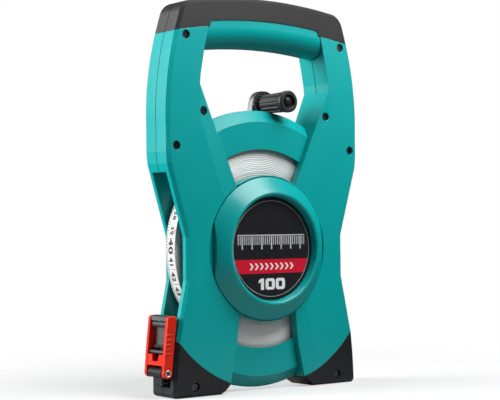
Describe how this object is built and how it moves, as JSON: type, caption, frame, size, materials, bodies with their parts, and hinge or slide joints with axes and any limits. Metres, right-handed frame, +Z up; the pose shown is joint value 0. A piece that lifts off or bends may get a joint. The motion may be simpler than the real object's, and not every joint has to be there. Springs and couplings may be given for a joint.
{
  "type": "surveyor tape reel",
  "caption": "Open-frame long tape reel: crossed side plates on a hub, wound tape, rubber-capped handle, folding winding crank and folding end hook stowed at the mouth.",
  "frame": {"origin": "on the ground plane under the hub: on the feet's bottom plane, in the casing's parting plane, below the reel's axis", "axes": "+X to the right seen from the front along the handle, +Y from the hub cap to the crank side, +Z up from the feet to the handle"},
  "size_m": [0.1624, 0.043, 0.2599],
  "materials": {
    "teal_plastic": "satin moulded ABS",
    "black_rubber": "fine matt texture",
    "black_plastic": "satin",
    "black_steel": "blackened",
    "bright_steel": "turned",
    "grey_metal": "dark grey coated",
    "red_plastic": "satin",
    "acetal": "natural",
    "tape": "white coated steel band with printed figures",
    "label": "printed film"
  },
  "bodies": {
    "casing": {"front_shell": "teal_plastic", "rear_shell": "teal_plastic", "front_grip": "black_rubber", "rear_grip": "black_rubber", "left_front_foot": "black_plastic", "left_rear_foot": "black_plastic", "right_front_foot": "black_plastic", "right_rear_foot": "black_plastic", "casing_screws": "black_steel", "hub_cap": "teal_plastic", "hub_label": "label", "front_bush": "acetal", "rear_bush": "acetal", "drag_washers": "acetal", "crank_cover": "black_plastic", "cover_screws": "black_steel", "mouth_guides": "bright_steel"},
    "reel": {"reel_drum": "acetal", "tape_coil": "tape", "crank_hub": "black_plastic", "axle_screw": "bright_steel", "crank_pin": "bright_steel"},
    "crank": {"crank_arm": "bright_steel", "knob_spindle": "black_steel"},
    "knob": {"knob_sleeve": "black_rubber", "knob_button": "black_plastic"},
    "tape_end": {"tape_lead": "tape", "tape_clamp": "black_plastic", "clamp_rivets": "bright_steel", "hook_pin": "black_steel"},
    "hook": {"hook_frame": "red_plastic", "hook_bridge": "grey_metal", "claw_pin": "bright_steel", "hook_cross_pin": "grey_metal"},
    "claw": {"claw": "grey_metal"}
  },
  "joints": [
    {"name": "reel_spin", "type": "hinge", "parent": "casing", "child": "reel", "pos_m": [0, 0, 0.094], "axis": [0, 1, 0], "range_deg": [0, 11]},
    {"name": "crank_fold", "type": "hinge", "parent": "reel", "child": "crank", "pos_m": [0, 0.0172, 0.094], "axis": [-0.9829, 0, 0.184], "range_deg": [0, 180]},
    {"name": "knob_spin", "type": "hinge", "parent": "crank", "child": "knob", "pos_m": [0.01849, 0, 0.19279], "axis": [0, 1, 0], "continuous": true},
    {"name": "tape_pull", "type": "slide", "parent": "casing", "child": "tape_end", "axis": [-0.9843, 0, -0.1762], "range_m": [0, 0.0134]},
    {"name": "hook_swing", "type": "hinge", "parent": "tape_end", "child": "hook", "pos_m": [-0.0793, 0, 0.0163], "axis": [0, -1, 0], "range_deg": [0, 110]},
    {"name": "claw_fold", "type": "hinge", "parent": "hook", "child": "claw", "pos_m": [-0.0764, 0, 0.0469], "axis": [0, 1, 0], "range_deg": [0, 100]}
  ],
  "couplings": [
    {"joint": "tape_pull", "follows": "reel_spin", "m_per_rad": 0.0693}
  ]
}
